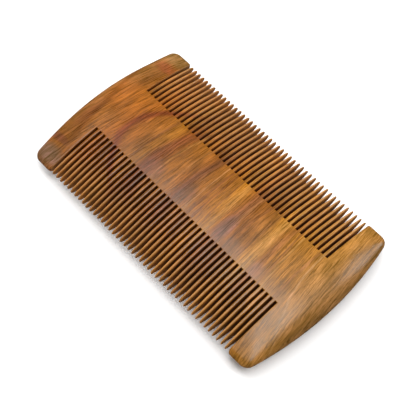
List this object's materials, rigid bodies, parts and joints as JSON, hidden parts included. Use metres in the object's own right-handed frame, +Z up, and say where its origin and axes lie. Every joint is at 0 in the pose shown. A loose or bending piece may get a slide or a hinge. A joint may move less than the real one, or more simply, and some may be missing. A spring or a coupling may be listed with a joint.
{
  "type": "beard comb",
  "caption": "Flat lens-shaped wooden pocket comb with a row of fine teeth along both long sides, curved rolled ends and wide guard teeth at the corners.",
  "frame": {"origin": "middle of the flat strip along the underside, which the comb rests on", "axes": "+X along the comb, parallel to the spine; +Y across it, from the front row of teeth to the back row; +Z up through its thickness"},
  "size_m": [0.1, 0.0582, 0.0103],
  "materials": {
    "sandalwood": "hand-polished sandalwood, satin, figured golden brown with darker bands across the comb"
  },
  "bodies": {
    "root": {"spine": "sandalwood", "front_left_guard": "sandalwood", "front_right_guard": "sandalwood", "back_left_guard": "sandalwood", "back_right_guard": "sandalwood", "tooth_pair_01": "sandalwood", "tooth_pair_02": "sandalwood", "tooth_pair_03": "sandalwood", "tooth_pair_04": "sandalwood", "tooth_pair_05": "sandalwood", "tooth_pair_06": "sandalwood", "tooth_pair_07": "sandalwood", "tooth_pair_08": "sandalwood", "tooth_pair_09": "sandalwood", "tooth_pair_10": "sandalwood", "tooth_pair_11": "sandalwood", "tooth_pair_12": "sandalwood", "tooth_pair_13": "sandalwood", "tooth_pair_14": "sandalwood", "tooth_pair_15": "sandalwood", "tooth_pair_16": "sandalwood", "tooth_pair_17": "sandalwood", "tooth_pair_18": "sandalwood", "tooth_pair_19": "sandalwood", "tooth_pair_20": "sandalwood", "tooth_pair_21": "sandalwood", "tooth_pair_22": "sandalwood", "tooth_pair_23": "sandalwood", "tooth_pair_24": "sandalwood", "tooth_pair_25": "sandalwood", "tooth_pair_26": "sandalwood", "tooth_pair_27": "sandalwood", "tooth_pair_28": "sandalwood", "tooth_pair_29": "sandalwood", "tooth_pair_30": "sandalwood", "tooth_pair_31": "sandalwood", "tooth_pair_32": "sandalwood", "tooth_pair_33": "sandalwood", "tooth_pair_34": "sandalwood", "tooth_pair_35": "sandalwood", "tooth_pair_36": "sandalwood", "tooth_pair_37": "sandalwood", "tooth_pair_38": "sandalwood", "tooth_pair_39": "sandalwood", "tooth_pair_40": "sandalwood", "tooth_pair_41": "sandalwood", "tooth_pair_42": "sandalwood", "tooth_pair_43": "sandalwood", "tooth_pair_44": "sandalwood", "tooth_pair_45": "sandalwood"}
  },
  "joints": []
}
